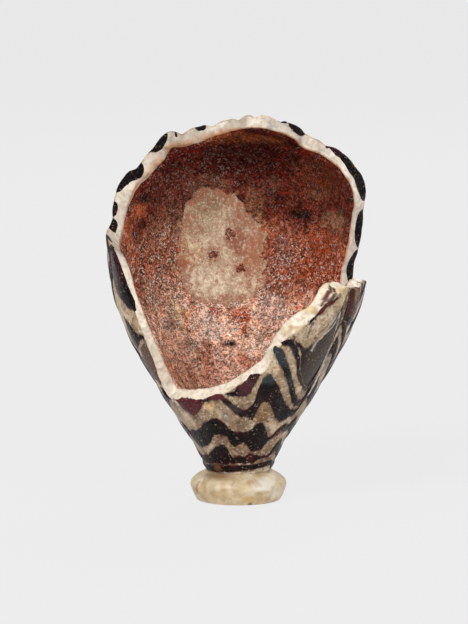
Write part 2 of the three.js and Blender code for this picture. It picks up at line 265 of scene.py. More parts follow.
# Marks, each an angle, a level, half sizes, a colour and a strength. The level is a share on the
# skin, the threads and the break, and a height in mm on the residue, the bare patch and the foot
SKIN_MARKS = [
    (40, 0.004, 75, 0.012, "#c4b59e", 0.9),
    (-52, 0.15, 8, 0.03, "#b89f86", 0.7),
    (-57, 0.197, 8, 0.012, "#cdb8a6", 0.85),
    (-38, 0.153, 6, 0.014, "#6d533c", 0.7),
    (-24, 0.192, 7, 0.014, "#d0b088", 0.8),
    (-10, 0.165, 6, 0.018, "#78685c", 0.8),
    (5, 0.2, 8, 0.02, "#6f5941", 0.7),
    (4, 0.143, 7, 0.016, "#5c432c", 0.75),
    (20, 0.165, 8, 0.035, "#78531f", 0.75),
    (-38, 0.023, 24, 0.007, "#2a1712", 0.85),
    (-20, 0.093, 9, 0.013, "#70543f", 0.8),
    (8, 0.065, 8, 0.012, "#74553f", 0.7),
    (18, 0.32, 8, 0.04, "#ccb598", 0.8),
    (32, 0.22, 5, 0.04, "#9b836a", 0.7),
    (27, 0.35, 5, 0.04, "#a8917a", 0.7),
    (46, 0.41, 10, 0.035, "#b8a38a", 0.9),
    (56, 0.468, 6, 0.02, "#cbb48c", 0.8),
    (58, 0.24, 10, 0.05, "#5d5148", 0.8),
    (65, 0.3, 6, 0.1, "#8d8176", 0.7),
]
THREAD_MARKS = [
    (-41, 0.185, 20, 0.035, "#521a1f", 0.9),
    (5, 0.25, 8, 0.035, "#4b282a", 0.85),
    (-16, 0.22, 7, 0.012, "#59222a", 0.8),
    (-5, 0.19, 7, 0.016, "#3c3436", 0.75),
    (19, 0.268, 7, 0.014, "#33393d", 0.9),
    (24, 0.33, 8, 0.034, "#34393d", 0.8),
    (34, 0.262, 5, 0.03, "#26292c", 0.7),
    (16, 0.045, 7, 0.014, "#451618", 0.7),
    (44, 0.115, 7, 0.02, "#45181b", 0.7),
    (-35, 0.012, 8, 0.01, "#6b4228", 0.8),
    (49, 0.33, 13, 0.11, "#453b35", 0.85),
    (56, 0.27, 4, 0.06, "#2c1c1c", 0.8),
    (44, 0.45, 6, 0.03, "#47201a", 0.9),
    (16, 0.355, 2, 0.02, "#4a1a1c", 0.8),
    (66, 0.45, 9, 0.045, "#43150e", 0.9),
    (67, 0.472, 2, 0.018, "#8f6238", 0.75),
    (-62, 0.3, 9, 0.055, "#6a5044", 0.75),
    (-72, 0.52, 10, 0.05, "#2f1218", 0.8),
]
FRACTURE_MARKS = [
    (50, 0.48, 14, 0.035, "#e0d2b6", 0.75),
    (291, 0.383, 9, 0.006, "#9a8872", 0.7),
    (54, 0.48, 3, 0.01, "#b89866", 0.7),
    (60, 0.485, 3, 0.02, "#c09f70", 0.6),
    (36, 0.44, 5, 0.008, "#bfa06a", 0.6),
    (28, 0.39, 5, 0.012, "#b39a72", 0.6),
]

# Strokes, each half a width in mm, a colour, a strength and the places it runs through
FRACTURE_STROKES = [
    (0.34, "#561f10", 1.0, (49.2, 0.49), (46.4, 0.475), (44.6, 0.463), (43, 0.45)),
    (0.34, "#35120d", 1.0,
     (50.6, 0.484), (48.1, 0.47), (46.3, 0.458), (44.5, 0.445), (41.9, 0.429)),
]
# Painted highlights: pale lines where light catches the combed creases on the flap
CREASE_HIGHLIGHTS = [
    (0.22, "#cbc5bf", 0.9,
     (56, 0.43), (57, 0.39), (58, 0.3615), (60.5, 0.313), (63, 0.263), (62, 0.21)),
    (0.18, "#b7b0aa", 0.85, (55.5, 0.425), (52, 0.4), (47, 0.38), (43.5, 0.36), (42.5, 0.34)),
]
SKIN_STROKES = [
    (0.45, "#4c3c37", 0.85, (40.5, 0.436), (39, 0.415), (37.8, 0.4), (37, 0.38)),
    (0.2, "#4a3a35", 0.8, (54.5, 0.437), (50, 0.4145), (45, 0.39), (42, 0.37)),
    # Painted shade: a near-black dash for a small pit in the skin
    (0.5, "#2c1a16", 0.9, (27, 0.372), (29, 0.366), (31.5, 0.359)),
]

# On the inside and the foot
CRUST_MARKS = [
    (181, 71.6, 42, 1.3, "#8a4a22", 0.7),
    (174, 67, 30, 4.5, "#3c120a", 0.8),
    (216, 61.4, 19, 4.2, "#5f2c1e", 0.6),
    (130, 63, 26, 5.5, "#63301b", 0.55),
    (132, 60.3, 7, 1.4, "#7d583e", 0.3),
    (163, 61.5, 7, 2.2, "#70483a", 0.35),
    (120, 55, 12, 2.0, "#a67e5e", 0.4),
    (130, 46, 20, 7, "#8e3c1e", 0.9),
    (157, 46, 12, 8, "#7d4233", 0.6),
    (168, 51.5, 4, 4, "#ab6038", 0.6),
    (155, 48.4, 6, 3, "#7c5246", 0.5),
    (242, 57, 10, 1.8, "#b5603c", 0.8),
    (252, 51, 8, 7, "#b25e3b", 0.7),
    (224, 50, 12, 6.5, "#85503a", 0.7),
    (246, 52.2, 4, 0.9, "#2e120c", 0.85),
    (237, 59.5, 6, 1.1, "#2c100a", 0.8),
    (231, 40.5, 19, 4, "#a1745e", 0.6),
    (220, 35.6, 5, 3.6, "#c2a078", 0.8),
    (213, 35, 4, 2, "#c08455", 0.7),
    (262, 28, 18, 4.5, "#b5714c", 0.6),
    (194, 35.9, 4.5, 1.2, "#a54c30", 0.85),
    (179, 34.7, 7, 2.6, "#a14729", 0.9),
    (188, 37.5, 17, 0.9, "#d3b49c", 0.7),
    (196, 61.5, 12, 2.4, "#6f4a36", 0.55),
    (172, 57, 7, 4.5, "#7b5039", 0.6),
    (215, 55, 5, 4, "#6a4733", 0.5),
    (160, 36, 12, 3, "#ae8a7b", 0.75),
    (197, 32.4, 11, 2.6, "#d6b4a3", 0.7),
    (156, 32.3, 8, 2, "#a5664c", 0.6),
    (194, 24.8, 40, 3.6, "#cc9078", 0.5),
    (172, 26, 10, 1.4, "#a9573d", 0.55),
    # Painted shade: near black along the two cracks in the residue, over their hollows
    (146, 55.6, 9, 0.9, "#1f0a06", 0.95),
    (185.5, 29.3, 7, 0.5, "#3a150c", 1.0),
]
FOOT_MARKS = [
    (12, 1.3, 12, 0.9, "#b98f4a", 0.6),
    (-52, 2.2, 14, 2.0, "#b0966e", 0.6),
    (34, 4.0, 18, 1.4, "#d2cec6", 0.6),
    (-60, 3.2, 1.2, 1.6, "#6a5036", 0.8),
    (15, 0.0, 4, 0.5, "#3a2a1c", 0.8),
    (-63, 1.8, 2, 1.3, "#6b5238", 0.75),
    (-70, 2.4, 2.5, 1.6, "#8b7256", 0.5),
    (30, 2.6, 9, 0.35, "#a88c62", 0.6),
]
# Hollows in the residue: angle, height, half sizes, and rise in mm per degree
CRACKS = [(185.5, 29.4, 7.5, 0.34, -0.05), (146, 55.7, 9, 0.7, -0.11)]
PATCH_MARKS = [
    (206, 48, 8, 3, "#d9c39d", 0.8),
    (197, 41, 15, 3.2, "#dccbb2", 0.85),
    (176, 41, 8, 2, "#d6c1a2", 0.6),
    (200, 54, 10, 3.5, "#a58f70", 0.75),
    (194, 59.5, 13, 3.6, "#846546", 0.8),
    (179, 55, 9, 3.4, "#94745a", 0.75),
    (181, 50.2, 7, 2.4, "#864a34", 0.85),
    (179, 47.4, 4, 1.3, "#8a4d35", 0.8),
    (193, 47.1, 3, 2, "#8a5038", 0.8),
    (175, 47, 5, 2.2, "#a06040", 0.65),
    (178, 44.5, 5, 1.3, "#a05a34", 0.75),
    (209, 45.6, 5, 1, "#a85c32", 0.85),
    (188, 44.2, 2.5, 0.6, "#97502f", 0.7),
    (171, 48, 4, 5, "#b07850", 0.6),
]


# Noise and small helpers

LATTICE_SIZE = 64
LATTICE = np.random.default_rng(7).uniform(-1, 1, (LATTICE_SIZE,) * 3)


def cloud(points, size, shift=0.0):
    """Smooth noise from -1 to 1 at points in mm, in lumps of about this size."""
    place = points / size + shift
    cell = np.floor(place).astype(int)
    part = place - cell
    part = part * part * (3 - 2 * part)
    total = 0
    for corner in itertools.product((0, 1), repeat=3):
        weight = np.prod(np.where(corner, part, 1 - part), axis=-1)
        index = (cell + corner) % LATTICE_SIZE
        total = total + weight * LATTICE[index[..., 0], index[..., 1], index[..., 2]]
    return total


def smooth(value, low, high):
    part = np.clip((value - low) / (high - low), 0, 1)
    return part * part * (3 - 2 * part)


def mix(first, second, part):
    """Blends two colours, each given as its values or its code."""
    first, second = (colour(tone) if isinstance(tone, str) else tone for tone in (first, second))
    part = np.asarray(part)[..., None]
    return first * (1 - part) + second * part


def apart(angle, other):
    """How far apart two angles are, the short way round."""
    return np.abs((angle - other + 180) % 360 - 180)


def near(angle, other, far, close):
    """Runs from 0 to 1 as an angle comes from far to close by another."""
    return smooth(-apart(angle, other), -far, -close)


def angle_of(points):
    return np.degrees(np.arctan2(points[..., 0], -points[..., 1]))


def length_along(steps):
    """The length of a line up to each of its corners."""
    return np.concatenate([[0], np.cumsum(steps)])


def unit(vectors):
    return vectors / np.linalg.norm(vectors, axis=1)[:, None]


# The body's outline

def outline_curve():
    """Points along the outline, close together, and the share of its length at each."""
    corners = [(JOINT_RADIUS + (BODY_RADIUS - JOINT_RADIUS) * out, BASE + BELLY_HEIGHT * up)
               for out, up in LOWER_SHARES]
    corners += [(NECK_RADIUS + (BODY_RADIUS - NECK_RADIUS) * out,
                 BASE + BELLY_HEIGHT + SHOULDER_HEIGHT * up) for out, up in UPPER_SHARES]
    corners = np.array([corners[0], *corners, corners[-1]])
    part = np.linspace(0, 1, SPAN_STEPS, endpoint=False)[:, None]
    spans = []
    for before, start, end, after in zip(corners, corners[1:], corners[2:], corners[3:]):
        first, last = (end - before) / 2, (after - start) / 2
        spans.append((2 * start - 2 * end + first + last) * part ** 3
                     + (-3 * start + 3 * end - 2 * first - last) * part ** 2 + first * part + start)
    curve = np.concatenate([*spans, corners[-1:]])
    length = length_along(np.hypot(*np.diff(curve, axis=0).T))
    return curve, length / length[-1], length[-1]


SPAN_STEPS = 60  # between two corners of the outline
AT_ONCE = 4000  # how many points are located at once
CURVE, CURVE_SHARES, OUTLINE_LENGTH = outline_curve()
ALONG = np.gradient(CURVE, axis=0)
ALONG = ALONG / np.hypot(*ALONG.T)[:, None]


def outline_at(share):
    return [np.interp(share, CURVE_SHARES, column) for column in (*CURVE.T, *ALONG.T)]


def around(angle, radius, height):
    """A point at this angle, radius and height."""
    turn = np.radians(angle)
    return np.stack(np.broadcast_arrays(radius * np.sin(turn), -radius * np.cos(turn), height), -1)


def body_point(angle, share, depth):
    radius, height, along_out, along_up = outline_at(share)
    return around(angle, radius - depth * along_up, height + depth * along_out)


def skin_depth(angle, share):
    """How deep the real skin lies under the smooth one: combed grooves and a slight unevenness."""
    turn = np.radians(angle)
    wide = np.cos(turn * GROOVES / 2) ** 4
    crease = (1 - np.abs(np.sin(turn * GROOVES / 2))) ** 1.3
    groove = GROOVE_DEPTH * (0.45 * wide + 0.55 * crease) * smooth(share, *GROOVE_FADE_SHARES)
    bulge = np.hypot(apart(angle, BULGE[0]) / BULGE[2], (share - BULGE[1]) / BULGE[3])
    groove = groove * (1 - 0.95 * smooth(-bulge, -1.3, -0.5))
    place = body_point(angle, share, 0)
    uneven = 0.09 * (1 + cloud(place, 5)) + 0.035 * (1 + cloud(place, 1.6))
    return groove + uneven


def skin_point(angle, share, depth):
    return body_point(angle, share, depth + skin_depth(angle, share))


def lining_point(angle, row, inset):
    """A point of the cavity's skin, this far in from it. Rows run from 0 at the axis to 1 at the
    edge of the curved floor, and on to 2 at the neck."""
    share = FLOOR_EDGE_SHARE + (TOP_SHARE - FLOOR_EDGE_SHARE) * np.clip(row - 1, 0, 1)
    radius, height, along_out, along_up = outline_at(share)
    radius = radius - (WALL + inset) * along_up
    height = height + (WALL + inset) * along_out
    sweep = FLOOR_SWEEP * np.clip(row, 0, 1)
    bottom = BASE + FLOOR_THICKNESS + inset
    upward = (1 - np.cos(sweep)) / (1 - math.cos(FLOOR_SWEEP))
    return around(angle, radius * np.sin(sweep) / math.sin(FLOOR_SWEEP),
                  np.where(row < 1, bottom + (height - bottom) * upward, height))


def locate(points):
    """Angle, share and depth of points in mm."""
    flat = np.stack([np.hypot(points[:, 0], points[:, 1]), points[:, 2]], -1)
    nearest = np.empty(len(flat), int)
    for start in range(0, len(flat), AT_ONCE):
        part = flat[start:start + AT_ONCE]
        gap = (part[:, None, :] - CURVE[None]) ** 2
        nearest[start:start + AT_ONCE] = gap.sum(-1).argmin(1)
    away = flat - CURVE[nearest]
    along = ALONG[nearest]
    share = CURVE_SHARES[nearest] + (away * along).sum(-1) / OUTLINE_LENGTH
    depth = away[:, 1] * along[:, 0] - away[:, 0] * along[:, 1]
    return angle_of(points), share, depth


# Meshes

def tube(rings, joined=False):
    """Corners and faces of a closed skin over rings of points. Its ends are flat or joined."""
    count, size = rings.shape[:2]
    points = rings.reshape(-1, 3)
    span = np.arange(count if joined else count - 1)[:, None]
    step = np.arange(size)[None]
    here, there = span * size, (span + 1) % count * size
    after = (step + 1) % size
    faces = np.broadcast_arrays(here + step, here + after, there + after, there + step)
    faces = np.stack(faces, -1).reshape(-1, 4).tolist()
    if not joined:
        middles = [rings[0].mean(0), rings[-1].mean(0)]
        low, high = len(points), len(points) + 1
        points = np.concatenate([points, middles])
        last = (count - 1) * size
        for j in range(size):
            k = (j + 1) % size
            faces.append((low, k, j))
            faces.append((high, last + j, last + k))
    return points, faces


def volume_of(points, faces):
    fans = [(face[0], face[i], face[i + 1]) for face in faces for i in range(1, len(face) - 1)]
    corners = points[np.array(fans)]
    across = np.cross(corners[:, 1], corners[:, 2])
    return np.einsum("ij,ij->i", corners[:, 0], across).sum() / 6


def outwards(points, faces):
    """The faces of a closed skin, turned outwards."""
    return [face[::-1] for face in faces] if volume_of(points, faces) < 0 else faces


def add_object(name, data):
    made = bpy.data.objects.new(name, data)
    bpy.context.scene.collection.objects.link(made)
    return made


def add_mesh(name, points, faces, material=None):
    """An object with its faces turned outwards, from points in mm."""
    mesh = bpy.data.meshes.new(name)
    mesh.from_pydata((points * MM).tolist(), [], outwards(points, faces))
    if material:
        mesh.materials.append(material)
    return add_object(name, mesh)


def points_of(made):
    flat = np.empty(len(made.data.vertices) * 3, np.float32)
    made.data.vertices.foreach_get("co", flat)
    return flat.reshape(-1, 3).astype(float) / MM


def cut(made, cutter, keep_finish="INDEX"):
    """Takes the cutter's solid out of a piece."""
    change = made.modifiers.new("cut", "BOOLEAN")
    change.operation = "DIFFERENCE"
    change.solver = "MANIFOLD"
    change.material_mode = keep_finish
    change.object = cutter
    bpy.context.view_layer.update()
    graph = bpy.context.evaluated_depsgraph_get()
    mesh = bpy.data.meshes.new_from_object(made.evaluated_get(graph))
    made.modifiers.clear()
    made.data = mesh


def drop_crumbs(made, least):
    """Deletes loose bits of under this many faces, which the break would have shaken off."""
    mesh = made.data
    edges = np.empty(len(mesh.edges) * 2, np.int32)
    mesh.edges.foreach_get("vertices", edges)
    edges = edges.reshape(-1, 2)
    label = np.arange(len(mesh.vertices))
    while True:
        lowest = label.copy()
        np.minimum.at(lowest, edges[:, 0], label[edges[:, 1]])
        np.minimum.at(lowest, edges[:, 1], label[edges[:, 0]])
        lowest = lowest[lowest]
        if (lowest == label).all():
            break
        label = lowest
    sizes = np.bincount(label, minlength=len(label))
    loose = sizes[label] < least
    if loose.any():
        work = bmesh.new()
        work.from_mesh(mesh)
        work.verts.ensure_lookup_table()
        bmesh.ops.delete(work, geom=[work.verts[i] for i in np.flatnonzero(loose)], context="VERTS")
        work.to_mesh(mesh)
        work.free()


GLASS_EDGE = 45
CLAY_EDGE = 60


def shade(made, angle):
    """Smooth shading, apart from edges sharper than this angle in degrees."""
    bpy.ops.object.select_all(action="DESELECT")
    made.select_set(True)
    bpy.context.view_layer.objects.active = made
    bpy.ops.object.shade_smooth_by_angle(angle=math.radians(angle))


def paint(made, values):
    """A colour for each corner of the mesh, which its material reads."""
    mesh = made.data
    layer = mesh.attributes.new("tint", "FLOAT_COLOR", "POINT")
    flat = np.ones((len(mesh.vertices), 4), np.float32)
    flat[:, :values.shape[1]] = np.clip(values, 0, 1)
    layer.data.foreach_set("color", flat.ravel())


def finish_piece(made, colours, angle, title):
    """Paints and shades a piece, and puts it in the place of one in the frame."""
    paint(made, colours(points_of(made)))
    shade(made, angle)
    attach(made, "root")
    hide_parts(title)


# The break

def break_edge():
    """Angle and share of points along the broken edge, at the middle of the wall."""
    corners = np.array(BREAK_SHARES + [(BREAK_SHARES[0][0] + 360, BREAK_SHARES[0][1])], float)
    places = body_point(corners[:, 0], corners[:, 1], WALL / 2)
    length = length_along(np.linalg.norm(np.diff(places, axis=0), axis=1))
    count = int(length[-1] / BREAK_STEP)
    at = np.linspace(0, length[-1], count, endpoint=False)
    angle = np.interp(at, length, corners[:, 0])
    return angle, np.interp(at, length, corners[:, 1])


def blurred(values, reach):
    """A closed row of values, each averaged with its neighbours."""
    total = sum(np.roll(values, shift, axis=0) for shift in range(-reach, reach + 1))
    return total / (2 * reach + 1)


def rounding(depth):
    """How far the worn edges of the break step back at a depth in the wall."""
    back = np.zeros_like(depth)
    for inward, radius in ((depth, OUTER_ROUND), (WALL - depth, INNER_ROUND)):
        gap = np.clip(radius - inward, 0, None)
        inside = np.clip(gap, 0, radius)
        back += radius - np.sqrt(radius ** 2 - inside ** 2) + (gap - inside)
    return back


def slope_at(angle):
    at, size = np.array(SLOPES).T
    return np.interp((np.asarray(angle) - at[0]) % 360 + at[0], at, size)


def break_cutter(material):
    """A rough cone from the middle of the cavity out through the broken edge."""
    angle, share = break_edge()
    middle = blurred(body_point(angle, share, WALL / 2), 2)
    outward = body_point(angle, share, 0) - body_point(angle, share, 1)
    centre = np.array([0, 0, outline_at(BREAK_CENTRE_SHARE)[1]])
    ray = unit(middle - centre)
    along = np.roll(middle, -1, axis=0) - np.roll(middle, 1, axis=0)
    side = unit(np.cross(outward, blurred(unit(along), 2)))
    far_middle = body_point(*BREAK_MIDDLE_SHARES, 0)
    if ((middle - far_middle) * side).sum() < 0:
        side = -side
    through = (ray * outward).sum(1)
    inner_steps = WALL / 2 * (1 - np.cos(np.linspace(0, math.pi, 15)))
    depths = [-OVERRUN, -OVERRUN / 2, -OVERRUN / 5, *inner_steps,
              WALL + OVERRUN / 5, WALL + OVERRUN / 2, WALL + OVERRUN]
    reach = BELLY_HEIGHT + SHOULDER_HEIGHT
    rings = [centre + ray * reach]
    slope = slope_at(angle)
    for depth in depths:
        place = middle + ray * ((WALL / 2 - depth) / through)[:, None]
        lumps = BREAK_ROUGH + 0.07 * np.abs(slope)
        fine = (0.11 + 0.03 * np.abs(slope)) * cloud(place, 1.1, 9.3)
        rough = lumps * np.abs(cloud(place, 2.6)) + fine + 0.05 * cloud(place, 0.45, 4.1)
        back = rounding(np.full(len(place), float(depth))) + rough - BREAK_ROUGH / 2
        inward = min(max(depth, 0), WALL) / WALL
        back = back + np.where(slope > 0, slope * (1 - inward), -slope * inward)
        rings.append(place + side * back[:, None])
    points, faces = tube(np.stack(rings))
    outside = far_middle - centre
    points[-2] = centre + outside / np.linalg.norm(outside) * reach
    points[-1] = centre
    return add_mesh("break_cutter", points, faces, material)


# Wall

COLUMNS = 432
SKIN_ROWS = 230
LINING_ROWS = 110


def whole_wall(skin, lining):
    angle = np.arange(COLUMNS) * 360 / COLUMNS
    rings = [skin_point(angle, share, 0) for share in np.linspace(0, TOP_SHARE, SKIN_ROWS)]
    for row in np.linspace(2, 0.12, LINING_ROWS):
        rings.append(lining_point(angle, row, 0))
    made = add_mesh("wall_glass", *tube(np.stack(rings)), skin)
    made.data.materials.append(lining)
    inside = np.arange(len(made.data.polygons)) >= SKIN_ROWS * COLUMNS
    made.data.polygons.foreach_set("material_index", inside.astype(np.int32))
    return made


# Threads

def zigzag(level, swing, angle):
    """The line of a thread: pointed peaks every 40 degrees."""
    turn = np.radians(angle) * ZIGZAGS
    return level - swing * (np.cos(turn) + np.cos(3 * turn) / 12) / (13 / 12)


def combed_edges(name, angle):
    """Share of the lower and upper edge of a thread on its zigzag."""
    level, swing, width, gain, _ = THREAD_SHARES[name]
    line = zigzag(level, swing, angle)
    place = body_point(angle, line, 0)
    if swing:
        line = line + THREAD_WANDER * cloud(place, 6, 5.5)
    peak = (1 - np.cos(np.radians(angle) * ZIGZAGS)) / 2
    half = width / 2 * (1 + gain * peak ** 3) * (1 + 0.25 * cloud(place, 3.5, 2.2))
    return line - half / OUTLINE_LENGTH, line + half / OUTLINE_LENGTH


def hand_edges(name, angle, lower, upper):
    """Takes the edges over to the places where the photograph shows them."""
    for run in HAND_EDGES.get(name, []):
        at, low, high = np.array(run, float).T
        low, high = low / HAND_UNITS, high / HAND_UNITS
        rise = smooth(angle, at[0] - HAND_BLEND, at[0])
        part = rise * smooth(-angle, -at[-1] - HAND_BLEND, -at[-1])
        lower = lower + (np.interp(angle, at, low) - lower) * part
        upper = upper + (np.interp(angle, at, high) - upper) * part
    return lower, upper


def all_edges():
    """Both edges of every thread round the body, ragged, and none across its neighbour's."""
    angle = EDGE_ANGLES
    edges = {}
    gap = LEAST_GAP / OUTLINE_LENGTH
    below = None
    for name in THREAD_SHARES:
        lower, upper = hand_edges(name, angle, *combed_edges(name, angle))
        ragged = THREAD_RAGGED / OUTLINE_LENGTH * smooth(upper, 0.02, 0.06)
        place = body_point(angle, lower, 0)
        lower = lower + ragged * (cloud(place, 0.9, 1.7) + cloud(place, 0.45, 8.8))
        place = body_point(angle, upper, 0)
        upper = upper + ragged * (cloud(place, 0.9, 3.9) + cloud(place, 0.45, 6.6))
        upper = np.maximum(upper, lower + LEAST_WIDTH / OUTLINE_LENGTH)
        if below is not None:
            middle = (edges[below][1] + lower) / 2
            close = lower < edges[below][1] + gap
            edges[below][1] = np.where(close, middle - gap / 2, edges[below][1])
            lower = np.where(close, middle + gap / 2, lower)
        edges[name] = [lower, upper]
        below = name
    return edges


def thread_edges(name, angle):
    wrapped = (np.asarray(angle, float) - EDGE_ANGLES[0]) % 360 + EDGE_ANGLES[0]
    return [np.interp(wrapped, EDGE_ANGLES, edge) for edge in EDGES[name]]


EDGE_ANGLES = np.arange(-90, 270.01, 0.25)
EDGES = all_edges()
THREAD_STEP = 0.75
SECTION_POINTS = 9  # the fewest across a thread
SECTION_STEP = 0.5


def thread_mesh(name, stretch):
    """A strand let into the wall: flush edges, a low crown and a round underside."""
    if stretch:
        count = int((stretch[1] - stretch[0]) / THREAD_STEP)
        angle = np.linspace(*stretch, count + 1)
    else:
        angle = np.arange(0, 360, THREAD_STEP)
    lower, upper = thread_edges(name, angle)
    middle, half = (lower + upper) / 2, (upper - lower) / 2
    count = max(SECTION_POINTS, int(2 * half.max() * OUTLINE_LENGTH / SECTION_STEP))
    across = np.cos(np.linspace(0, math.pi, count))
    deep = THREAD_THICKNESS * np.clip(half * OUTLINE_LENGTH / 1.5, 0.35, 1.6)
    deep = deep * (1 + 0.15 * np.clip(slope_at(angle), 0, None))
    # The sections on the left of the break are thin
    deep = deep * (1 - 0.8 * near(angle, 298, 14, 8) * smooth(-middle, -0.42, -0.38))
    deep = deep * (1 - 0.45 * near(angle, 290, 16, 8) * smooth(middle, 0.46, 0.5))
    columns = []
    for x in across:
        columns.append(skin_point(angle, middle + half * x, -THREAD_LIP - THREAD_RISE * (1 - x * x)))
    for x in across[-2:0:-1]:
        columns.append(skin_point(angle, middle + half * x, deep * math.sqrt(1 - x * x)))
    return tube(np.stack(columns, axis=1), joined=not stretch)


def outside_threads(angle, share):
    """How far in mm places on the skin lie outside the nearest thread, less than 0 inside it."""
    nearest = np.full(np.shape(angle), 99.0)
    for name in THREAD_SHARES:
        lower, upper = thread_edges(name, angle)
        nearest = np.minimum(nearest, np.maximum(lower - share, share - upper))
    return nearest * OUTLINE_LENGTH


def blotched(tint, points, angle, level, marks, lump=1.2):
    """Blends in marks, each an angle, a level, half sizes, a colour and a strength."""
    ragged = 0.3 * cloud(points, lump, 2.9) + 0.14 * cloud(points, lump * 0.4, 0.7)
    for at, middle, wide, high, tone, strength in marks:
        away = np.hypot(apart(angle, at) / wide, (level - middle) / high) + ragged
        tint = mix(tint, tone, strength * smooth(-away, -1.2, -0.6))
    return tint


def stroked(tint, points, angle, share, strokes):
    """Draws lines, each half a width in mm, a colour, a strength and the places it runs through."""
    flat = body_point(angle, share, 0)
    ragged = 0.1 * cloud(points, 0.7, 6.1)
    for half, tone, strength, *places in strokes:
        gap = np.full(len(points), 99.0)
        for start, end in zip(places, places[1:]):
            first, last = body_point(*start, 0), body_point(*end, 0)
            along = last - first
            part = np.clip((flat - first) @ along / (along @ along), 0, 1)
            away = np.linalg.norm(flat - first - part[:, None] * along, axis=1)
            gap = np.minimum(gap, away)
        part = smooth(-gap - ragged, -half - 0.1, -half + 0.1)
        tint = mix(tint, tone, strength * part)
    return tint


def thread_colour(points):
    """Near black, dark red where the glass is thin or fresh, and grey where it has weathered, with
    painted highlights along the creases.
    """
    angle, share, depth = locate(points)
    tint = mix("#080203", "#20090e", smooth(cloud(points, 2.2, 3.3), -0.1, 0.9))
    thin = smooth(outside_threads(angle, share), -0.5, 0.0)
    tint = mix(tint, "#4f1a1e", 0.75 * thin * smooth(cloud(points, 1.1, 7.1), -0.5, 0.4))
    tint = blotched(tint, points, angle, share, THREAD_MARKS)
    # Painted highlights along the creases
    return stroked(tint, points, angle, share, CREASE_HIGHLIGHTS)


# Colours of the wall

def skin_colour(points, angle, share):
    """Dull cream glass, browner below, stained ochre under each thread's peaks, with painted
    highlights along the creases.
    """
    peak = (1 - np.cos(np.radians(angle) * ZIGZAGS)) / 2
    tint = mix("#83694b", "#a58d6e", smooth(share, 0.1, 0.3))
    tint = mix(tint, "#c9b496", 0.8 * smooth(cloud(points, 2.4, 1.1), -0.1, 0.8))
    stain = np.zeros(len(points))
    lines = [row[:2] for row in THREAD_SHARES.values()]
    for below, above in zip(lines, lines[1:]):
        low, high = zigzag(*below, angle), zigzag(*above, angle)
        up = (share - low) / (high - low)
        stain = np.maximum(stain, smooth(up, 0.4, 0.7) * (up < 1) * (0.3 + 0.7 * peak))
    stain = stain * smooth(cloud(points, 1.5, 5.3), -0.7, 0.4)
    tint = mix(tint, "#76542e", 0.8 * stain)
    tint = blotched(tint, points, angle, share, SKIN_MARKS)
    outside = outside_threads(angle, share)
    fringe = smooth(-outside, -0.9, 0.0) * smooth(cloud(points, 0.7, 2.3), -0.5, 0.4)
    fringe = np.maximum(fringe, smooth(-outside, -0.24, -0.08))
    tint = mix(tint, "#452a1d", 0.85 * fringe)
    # Dark streaks between threads, and painted shade for a small pit
    tint = stroked(tint, points, angle, share, SKIN_STROKES)
    # Painted highlights along the creases
    return stroked(tint, points, angle, share, CREASE_HIGHLIGHTS)


def fracture_colour(points, angle, share, depth):
    """Fresh glass: creamy along the front and the flap, cooler elsewhere, stained at the cavity."""
    front = near(angle, 5, 85, 60)
    tint = mix("#bfb2a4", "#b4a798", near(angle, 180, 60, 30))
    tint = mix(tint, "#d8cab8", front)
    grey = smooth(cloud(points, 1.7, 8.1), 0.1, 0.9) * (1 - 0.6 * front)
    tint = mix(tint, "#a39c94", 0.6 * grey)
    tint = mix(tint, "#e2d6c4", 0.5 * smooth(cloud(points, 3, 2.1), 0.0, 0.8))
    skin = smooth(-depth, -0.7, -0.1) * (1 - front)
    tint = mix(tint, "#8f8480", 0.6 * skin * smooth(cloud(points, 1.2, 3.1), -0.4, 0.5))
    flap = near(angle, 50, 38, 20)
    tint = mix(tint, "#a27a42", 0.7 * flap * smooth(cloud(points, 0.9, 5.9), 0.1, 0.6))
    tint = blotched(tint, points, angle, share, FRACTURE_MARKS, 0.9)
    tint = stroked(tint, points, angle, share, FRACTURE_STROKES)
    reach = 0.3 + 1.2 * near(angle, 212, 38, 18)
    stain = smooth(depth, WALL - reach, WALL - 0.1) * smooth(cloud(points, 2, 0.4), -0.9, 0.2)
    return mix(tint, "#a2672f", 0.75 * stain)


def wall_colour(points):
    angle, share, depth = locate(points)
    bare = np.tile(colour("#c2ac91"), (len(points), 1))
    bare = blotched(bare, points, angle, points[:, 2], PATCH_MARKS, 0.6)
    cling = smooth(patch_distance(points) + 0.34 * cloud(points, 1.4, 4.6), 0.55, 1.06)
    fresh = fracture_colour(points, angle, share, depth)
    out = smooth(depth - skin_depth(angle, share), 0.05, 0.25)
    tint = mix(skin_colour(points, angle, share), fresh, out)
    back = (apart(angle, 191) < 60) * (share > 0.25) * (share < 0.75)
    tint = mix(tint, bare, smooth(depth, WALL - 0.08, WALL - 0.02) * back)
    return np.concatenate([tint, cling[:, None]], 1)


# Residue

def patch_distance(points):
    """How far places lie from the middle of the bare patch, with 1 at its crumbling edge."""
    away = np.full(points.shape[:-1], 9.0)
    for at, height, wide, high in PATCH_SPOTS:
        spot = np.hypot(apart(angle_of(points), at) / wide, (points[..., 2] - height) / high)
        away = np.minimum(away, spot)
    away = away + 0.1 * cloud(points, 2.4, 3.1) + 0.13 * cloud(points, 0.9, 7.7)
    return away + 0.12 * cloud(points, 0.55, 1.3)


def crust_depth(points):
    """Thickness of the residue at points of the cavity's skin."""
    lumps = (0.16 * cloud(points, 2.1, 1.9) + 0.14 * cloud(points, 0.9, 3.7)
             + 0.12 * cloud(points, 0.5, 5.1))
    away = patch_distance(points)
    angle = angle_of(points) % 360
    crack = np.zeros(points.shape[:-1])
    for at, height, wide, high, slope in CRACKS:
        level = height + slope * (angle - at)
        middle = np.hypot((angle - at) / wide, (points[..., 2] - level) / high)
        crack = np.maximum(crack, smooth(-middle - 0.3 * cloud(points, 1, 2.4), -1.1, -0.5))
    thick = (CRUST + lumps) * (1 - 0.8 * crack)
    return (thick + CRUST_SINK) * smooth(away, 0.9, 1.35) - CRUST_SINK


